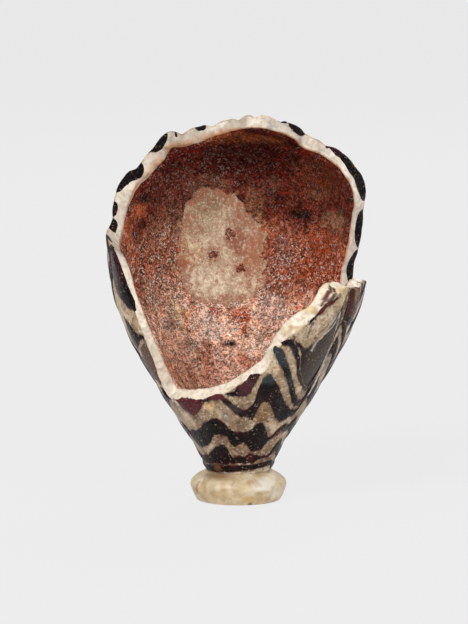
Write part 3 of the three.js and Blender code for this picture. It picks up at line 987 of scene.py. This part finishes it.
def whole_crust(material):
    angle = np.arange(COLUMNS) * 360 / COLUMNS
    rings = []
    for row in np.linspace(*CRUST_SPAN, CRUST_ROWS):
        depth = crust_depth(lining_point(angle, row, 0))
        rings.append(lining_point(angle, row, depth))
    for row in np.linspace(*CRUST_SPAN[::-1], CRUST_FOOT_ROWS):
        rings.append(lining_point(angle, row, -CRUST_FOOT))
    return add_mesh("core_residue_clay", *tube(np.stack(rings)), material)


def crust_colour(points):
    """Maroon above, rust in the middle and pinkish below. The fourth value is how gritty it is."""
    angle = angle_of(points)
    height = points[:, 2] + 1.6 * cloud(points, 4, 6.9) + 0.8 * cloud(points, 1.2, 4.2)
    tint = mix("#e2aa8c", "#984e32", smooth(height, 34, 43))
    tint = mix(tint, "#5c2214", smooth(height, 50, 56))
    tint = mix(tint, "#52150b", smooth(height, 57, 64))
    streaks = cloud(points * (1, 1, 0.35), 1.5, 7.3)
    low = smooth(-height, -42, -36)
    tint = mix(tint, "#b05835", 0.7 * low * smooth(streaks, 0.05, 0.5))
    tint = mix(tint, "#cfb2a3", 0.6 * low * smooth(-streaks, 0.05, 0.5))
    tint = mix(tint, tint * 0.4, 0.85 * smooth(cloud(points, 1.5, 9.9), 0.0, 0.6))
    tint = mix(tint, tint * 1.6, 0.8 * smooth(cloud(points, 1.1, 3.5), 0.05, 0.6))
    # The marks include painted shade: near black along the two cracks
    tint = blotched(tint, points, angle, points[:, 2], CRUST_MARKS)
    thin = smooth(-patch_distance(points), -1.32, -0.98) * smooth(cloud(points, 1.1, 6.2), -0.5, 0.5)
    tint = mix(tint, "#a98468", 0.7 * thin)
    grit = 1 - 0.84 * smooth(height, 45, 57)
    grit = grit * (1 - 0.4 * near(angle, 140, 50, 25) * smooth(height, 36, 42))
    return np.concatenate([tint, grit[:, None]], 1)


def fleck_colour(points):
    return np.tile([*colour("#7b4430"), 0.4], (len(points), 1))


def add_fleck(name, material):
    """A low lump of residue with a ragged outline."""
    at, share, size = FLECK_SHARES[name]
    turn = np.linspace(0, 2 * math.pi, FLECK_COLUMNS, endpoint=False)
    seed = np.stack([np.cos(turn), np.sin(turn), np.full(FLECK_COLUMNS, at)], -1)
    edge = FLECK_WIDTH * size / 2 * (1 + 0.5 * cloud(seed, 0.9) + 0.14 * cloud(seed, 0.25, 4.4))
    inner_radius = outline_at(share)[0] - WALL
    rings = []
    underside = [(0.3, FLECK_ROOT), (0.9, FLECK_ROOT)]
    crown = [(step / FLECK_ROWS, 0) for step in range(FLECK_ROWS, 0, -1)]
    for part, lift in underside + crown:
        angle = at + np.degrees(edge * part * np.cos(turn) / inner_radius)
        level = share + edge * part * np.sin(turn) / OUTLINE_LENGTH
        rough = cloud(body_point(angle, level, WALL), 0.6)
        rise = FLECK_HEIGHT * (1 - part ** 2) * (1 + 0.7 * rough)
        rings.append(body_point(angle, level, WALL + (lift or rise)))
    made = add_mesh(f"core_fleck_{name}_clay", *tube(np.stack(rings)), material)
    finish_piece(made, fleck_colour, CLAY_EDGE, f"core_fleck_{name}")


# Foot

def foot_outline_at(part):
    """Radius and height along the foot's outline, from the middle of its underside to the joint."""
    path = np.array(FOOT_OUTLINE) * (FOOT_RIM_RADIUS, BASE)
    length = length_along(np.hypot(*np.diff(path, axis=0).T))
    at = part * length[-1]
    return np.interp(at, length, path[:, 0]), np.interp(at, length, path[:, 1])


def add_foot(material):
    angle = np.arange(FOOT_COLUMNS) * 360 / FOOT_COLUMNS
    rings = []
    for part in np.linspace(0.01, 0.99, FOOT_ROWS):
        radius, height = foot_outline_at(part)
        place = around(angle, radius, height)
        rim = smooth(radius, 4, 9)
        dent = 0.09 * (1 + cloud(place, 4.5, 2.5)) + 0.03 * (1 + cloud(place, 1.3, 6.1))
        left = near(angle, -68, 34, 12)
        layers = 0.16 * left * smooth(np.sin(radius * 9 + cloud(place, 2) * 2.5), 0.75, 1.0)
        bite = 0.5 * left * smooth(cloud(place, 2.2, 8.4), 0.2, 0.7) * smooth(height, 0.2, 1.5)
        inward = rim * (dent + layers + bite) * smooth(height, 0, 0.5)
        rings.append(around(angle, radius - inward, np.full(FOOT_COLUMNS, height)))
    return add_mesh("foot_glass", *tube(np.stack(rings)), material)


def foot_colour(points):
    angle = angle_of(points)
    tint = mix("#bfae90", "#cabda9", smooth(cloud(points, 3, 1.3), -0.1, 0.8))
    tint = mix(tint, "#a5824e", 0.5 * smooth(cloud(points, 1.8, 4.7), 0.15, 0.9))
    joint = smooth(points[:, 2], 4.4, 5.6) * near(angle, -38, 40, 10)
    tint = mix(tint, "#6f4a26", 0.8 * joint)
    return blotched(tint, points, angle, points[:, 2], FOOT_MARKS)


# Materials

def new_tree(name):
    material = bpy.data.materials.new(name)
    material.use_nodes = True
    tree = material.node_tree
    tree.nodes.clear()
    return material, tree


def node(tree, kind, inputs=None, **settings):
    made = tree.nodes.new("ShaderNode" + kind)
    for key, value in settings.items():
        setattr(made, key, value)
    for key, value in (inputs or {}).items():
        if isinstance(value, bpy.types.NodeSocket):
            tree.links.new(value, made.inputs[key])
        else:
            made.inputs[key].default_value = value
    return made


def grain(place, size, detail=2.0, rough=0.5):
    """Noise in lumps of about this size in mm."""
    inputs = {"Vector": place, "Scale": 1 / size, "Detail": detail, "Roughness": rough}
    return node(place.id_data, "TexNoise", inputs).outputs["Fac"]


def window(value, low, high, bottom=0.0, top=1.0):
    """Runs smoothly from bottom to top as the value runs from low to high."""
    inputs = {"Value": value, "From Min": low, "From Max": high, "To Min": bottom, "To Max": top}
    made = node(value.id_data, "MapRange", inputs, interpolation_type="SMOOTHSTEP")
    return made.outputs["Result"]


def blend(tint, part, tone, mode="MIX"):
    """Lays a colour on, as far as the part says."""
    inputs = {0: part, 6: tint, 7: (*colour(tone), 1)}
    return node(tint.id_data, "Mix", inputs, data_type="RGBA", blend_type=mode).outputs[2]


def layer(tint, value, low, high, strength, tone, mode="MIX"):
    """Lays a colour on, from none where the value is low to this strength where it is high."""
    return blend(tint, window(value, low, high, 0.0, strength), tone, mode)


def bumped(*layers):
    """A normal from layers, each a value from 0 to 1 and how many mm high it stands."""
    normal = None
    for value, size in layers:
        inputs = {"Height": value, "Distance": size * MM, "Strength": 1.0}
        if normal:
            inputs["Normal"] = normal
        normal = node(value.id_data, "Bump", inputs).outputs["Normal"]
    return normal


def surface(material, tint, rough, normal, gloss=0.5, glow=None):
    """Ends a material. Its glow is how much light goes through the skin, how far each colour
    goes, and how deep in metres."""
    inputs = {"Base Color": tint, "Roughness": rough, "Normal": normal, "Specular IOR Level": gloss}
    if glow:
        names = ("Subsurface Weight", "Subsurface Radius", "Subsurface Scale")
        inputs.update(zip(names, glow))
    shader = node(material.node_tree, "BsdfPrincipled", inputs)
    node(material.node_tree, "OutputMaterial", {"Surface": shader.outputs["BSDF"]})
    return material


def scaled(value, size):
    return node(value.id_data, "VectorMath", {0: value, "Scale": size}, operation="SCALE").outputs[0]


def begun(name):
    """A material, the object's coordinates in mm, and the colour on the mesh with its fourth value."""
    material, tree = new_tree(name)
    place = scaled(node(tree, "TexCoord").outputs["Object"], 1 / MM)
    tint = node(tree, "Attribute", attribute_name="tint").outputs
    return material, place, tint["Color"], tint["Alpha"]


def grains(place, size):
    """Two random values for each grain of about this size in mm, and how far its middle is."""
    made = node(place.id_data, "TexVoronoi", {"Vector": place, "Scale": 1 / size})
    parts = node(place.id_data, "SeparateColor", {"Color": made.outputs["Color"]})
    return parts.outputs["Red"], parts.outputs["Green"], made.outputs["Distance"]


def times(first, second):
    return node(first.id_data, "Math", {0: first, 1: second}, operation="MULTIPLY").outputs[0]


def skin_glass(name):
    """Weathered opaque glass: mottled, with fine pits and a satin gloss."""
    material, place, tint, _ = begun(name)
    mottle = grain(place, 1.3, 5, 0.6)
    tint = layer(tint, mottle, 0.42, 0.62, 0.6, "#b09070", "MULTIPLY")
    milk = grain(place, 0.6, 4, 0.65)
    tint = layer(tint, milk, 0.52, 0.66, 0.55, "#d5c8b6")
    pits = grain(place, 0.45, 3, 0.65)
    tint = layer(tint, pits, 0.57, 0.66, 0.8, "#3b281c")
    normal = bumped((window(pits, 0.45, 0.7, 1.0, 0.0), 0.06), (mottle, 0.15))
    rough = window(milk, 0.3, 0.7, 0.22, 0.5)
    glow = (0.15, (1.0, 0.72, 0.45), 0.001)
    return surface(material, tint, rough, normal, 0.35, glow)


def fracture_glass(name):
    """Broken glass, worn to a satin white."""
    material, place, tint, _ = begun(name)
    cloudy = grain(place, 1.0, 5, 0.6)
    tint = layer(tint, cloudy, 0.42, 0.66, 0.5, "#b3a999", "MULTIPLY")
    dots = grain(place, 0.35, 2, 0.5)
    tint = layer(tint, dots, 0.64, 0.74, 0.6, "#8b775f")
    normal = bumped((cloudy, 0.16), (dots, 0.03))
    rough = window(cloudy, 0.3, 0.7, 0.3, 0.55)
    glow = (0.2, (1.0, 0.85, 0.65), 0.0012)
    return surface(material, tint, rough, normal, glow=glow)


def thread_glass(name):
    """Dark glass with a gloss, pitted, and worn through to brown in places."""
    material, place, tint, _ = begun(name)
    worn = grain(place, 1.5, 6, 0.75)
    tint = layer(tint, worn, 0.58, 0.64, 0.36, "#4d3526")
    inputs = {0: place, 1: (1.0, 1.0, 0.4)}
    drawn = node(place.id_data, "VectorMath", inputs, operation="MULTIPLY").outputs[0]
    frost = grain(drawn, 0.5, 4, 0.65)
    tint = layer(tint, frost, 0.58, 0.72, 0.17, "#544b45")
    specks = grain(place, 0.5, 4, 0.7)
    crowd = window(grain(place, 2.5, 2), 0.4, 0.6, 0.1, 0.7)
    dots = times(window(specks, 0.6, 0.66), crowd)
    tint = blend(tint, dots, "#b8a080")
    normal = bumped((window(specks, 0.45, 0.66, 1.0, 0.0), 0.1), (worn, 0.25))
    rough = window(frost, 0.42, 0.7, 0.16, 0.4)
    return surface(material, tint, rough, normal, 0.1)


def clay(name):
    """Rough clay of dark and light grains, more of them pale where the grit is."""
    material, place, tint, grit = begun(name)
    coarse = grain(place, 0.9, 5, 0.7)
    tone, kind, middle = grains(place, 0.27)
    broad = window(coarse, 0.36, 0.64, 0.5, 1.35)
    level = times(broad, window(tone, 0.0, 1.0, 0.36, 1.45))
    tint = scaled(tint, level)
    crowd = grain(place, 1.9, 3, 0.6)
    part = times(window(crowd, 0.36, 0.6, 0.15, 0.8), grit)
    pale = times(window(kind, 0.66, 0.9), part)
    tint = blend(tint, pale, "#efe2d4")
    normal = bumped((coarse, 0.35), (window(middle, 0.0, 0.6, 1.0, 0.0), 0.1))
    return surface(material, tint, 0.8, normal, 0.05)


def bare_lining(name):
    """Glass with the core's texture, where rust grains still cling."""
    material, place, tint, cling = begun(name)
    coarse = grain(place, 1.3, 5, 0.65)
    tone, kind, middle = grains(place, 0.27)
    tint = blend(tint, window(coarse, 0.4, 0.6, 0.5, 0.0), "#b49a80", "MULTIPLY")
    tint = blend(tint, window(tone, 0.0, 1.0, 0.4, 0.0), "#a08468", "MULTIPLY")
    tint = layer(tint, kind, 0.75, 0.95, 0.35, "#e2d6c4")
    ragged = grain(place, 0.8, 5, 0.7)
    lift = times(cling, window(ragged, 0.0, 0.5, 0.0, 0.2))
    cover = node(place.id_data, "Math", {0: ragged, 1: lift}).outputs[0]
    rust = times(window(cover, 0.52, 0.64), window(tone, 0.3, 0.6, 0.3, 0.9))
    tint = blend(tint, rust, "#8d5036")
    normal = bumped((coarse, 0.2), (window(middle, 0.0, 0.6, 1.0, 0.0), 0.05))
    return surface(material, tint, 0.55, normal, 0.3)


def foot_material(name):
    material, place, tint, _ = begun(name)
    veil = grain(place, 1.8, 5, 0.6)
    tint = blend(tint, window(veil, 0.36, 0.58, 0.4, 0.0), "#b89b70", "MULTIPLY")
    dots = grain(place, 0.4, 3, 0.55)
    tint = layer(tint, dots, 0.62, 0.74, 0.55, "#a07e50")
    normal = bumped((veil, 0.07), (dots, 0.03))
    rough = window(veil, 0.3, 0.7, 0.35, 0.55)
    glow = (0.25, (1.0, 0.8, 0.55), 0.0015)
    return surface(material, tint, rough, normal, glow=glow)


# Put the pieces together

def add_threads(cutter, material):
    """One piece for each strand that is left. Returns the whole strands, to let into the wall."""
    whole = []
    for name, (*_, stretches) in THREAD_SHARES.items():
        for i, stretch in enumerate(stretches):
            title = f"thread_{name}_{i + 1}" if len(stretches) > 1 else f"thread_{name}"
            points, faces = thread_mesh(name, stretch)
            whole.append((points, faces))
            made = add_mesh(f"{title}_glass", points, faces, material)
            cut(made, cutter)
            drop_crumbs(made, 40)
            finish_piece(made, thread_colour, GLASS_EDGE, title)
    return whole


def joined_mesh(parts):
    points, faces, start = [], [], 0
    for corners, skin in parts:
        points.append(corners)
        faces += [tuple(start + i for i in face) for face in outwards(corners, skin)]
        start += len(corners)
    return np.concatenate(points), faces


def build():
    cutter = break_cutter(fracture_glass("fracture"))
    strands = add_threads(cutter, thread_glass("thread"))

    wall = whole_wall(skin_glass("skin"), bare_lining("lining"))
    residue = clay("residue")
    crust = whole_crust(residue)
    cut(crust, wall)
    cut(crust, cutter)
    drop_crumbs(crust, 12)
    finish_piece(crust, crust_colour, CLAY_EDGE, "core_residue")

    channels = add_mesh("channels", *joined_mesh(strands))
    cut(wall, channels)
    cut(wall, cutter, "TRANSFER")
    drop_crumbs(wall, 100)
    finish_piece(wall, wall_colour, GLASS_EDGE, "body_wall")

    for name in FLECK_SHARES:
        add_fleck(name, residue)

    foot = add_foot(foot_material("foot"))
    finish_piece(foot, foot_colour, GLASS_EDGE, "foot_pad")

    for helper in (cutter, channels):
        bpy.data.objects.remove(helper)


# Floor, light and camera

BACKDROP = colour("#ebebeb")
DOME = 0.5  # strength of the light from all round
FLOOR_HALF = 6000
FLOOR_PLAIN = 0.95  # how far the floor shows as plain backdrop
LIGHT_AIM = Vector((0, 0, 0.04))

# Name, place and size in metres, and power
LIGHTS = [
    ("key", (-0.5, -0.8, 0.75), (0.35, 0.35), 11),
    ("fill", (0.7, -0.75, 0.3), (0.3, 0.6), 4.5),
    ("back", (0.3, 0.9, 0.8), (0.5, 0.5), 5),
]


def seen_directly(tree):
    """1 for rays from the camera, and those that gloss or glass sends on."""
    path = node(tree, "LightPath")
    seen = path.outputs["Is Camera Ray"]
    for name in ("Is Glossy Ray", "Is Transmission Ray"):
        seen = node(tree, "Math", {0: seen, 1: path.outputs[name]}, operation="MAXIMUM").outputs[0]
    return seen


def add_floor():
    corners = [(-1, -1, 0), (1, -1, 0), (1, 1, 0), (-1, 1, 0)]
    material, tree = new_tree("backdrop")
    plain = node(tree, "BsdfDiffuse", {"Color": (*BACKDROP, 1)})
    bright = node(tree, "Emission", {"Color": (*BACKDROP, 1), "Strength": 1.0})
    part = times(seen_directly(tree), FLOOR_PLAIN)
    both = node(tree, "MixShader", {0: part, 1: plain.outputs[0], 2: bright.outputs[0]})
    node(tree, "OutputMaterial", {"Surface": both.outputs[0]})
    floor = add_mesh("floor", np.array(corners) * FLOOR_HALF, [(0, 1, 2, 3)], material)


def add_light(name, place, size, power):
    data = bpy.data.lights.new(name, "AREA")
    data.shape = "RECTANGLE"
    data.size, data.size_y = size
    data.energy = power
    made = add_object(name, data)
    made.location = place
    aim = LIGHT_AIM - Vector(place)
    made.rotation_euler = aim.to_track_quat("-Z", "Y").to_euler()


def add_world():
    world = bpy.data.worlds.new("studio")
    bpy.context.scene.world = world
    world.use_nodes = True
    tree = world.node_tree
    tree.nodes.clear()
    soft = node(tree, "Background", {"Color": (1, 1, 1, 1), "Strength": DOME})
    plain = node(tree, "Background", {"Color": (*BACKDROP, 1), "Strength": 1.0})
    camera = node(tree, "LightPath").outputs["Is Camera Ray"]
    both = node(tree, "MixShader", {0: camera, 1: soft.outputs[0], 2: plain.outputs[0]})
    node(tree, "OutputWorld", {"Surface": both.outputs[0]})


def add_camera():
    back = Vector((0, -math.cos(ELEVATION), math.sin(ELEVATION)))
    data = bpy.data.cameras.new("camera")
    data.sensor_fit = "VERTICAL"
    data.sensor_height = SENSOR
    data.lens = DISTANCE / PIXEL / IMAGE_HEIGHT * SENSOR
    data.clip_start = 0.05
    data.clip_end = 50
    made = add_object("camera", data)
    made.location = (TARGET + back * DISTANCE) * MM
    made.rotation_euler = (math.pi / 2 - ELEVATION, 0, 0)
    bpy.context.scene.camera = made


def main():
    add_camera()
    build()
    add_floor()
    add_world()
    for row in LIGHTS:
        add_light(*row)
    bpy.context.scene.view_settings.view_transform = "Standard"


main()
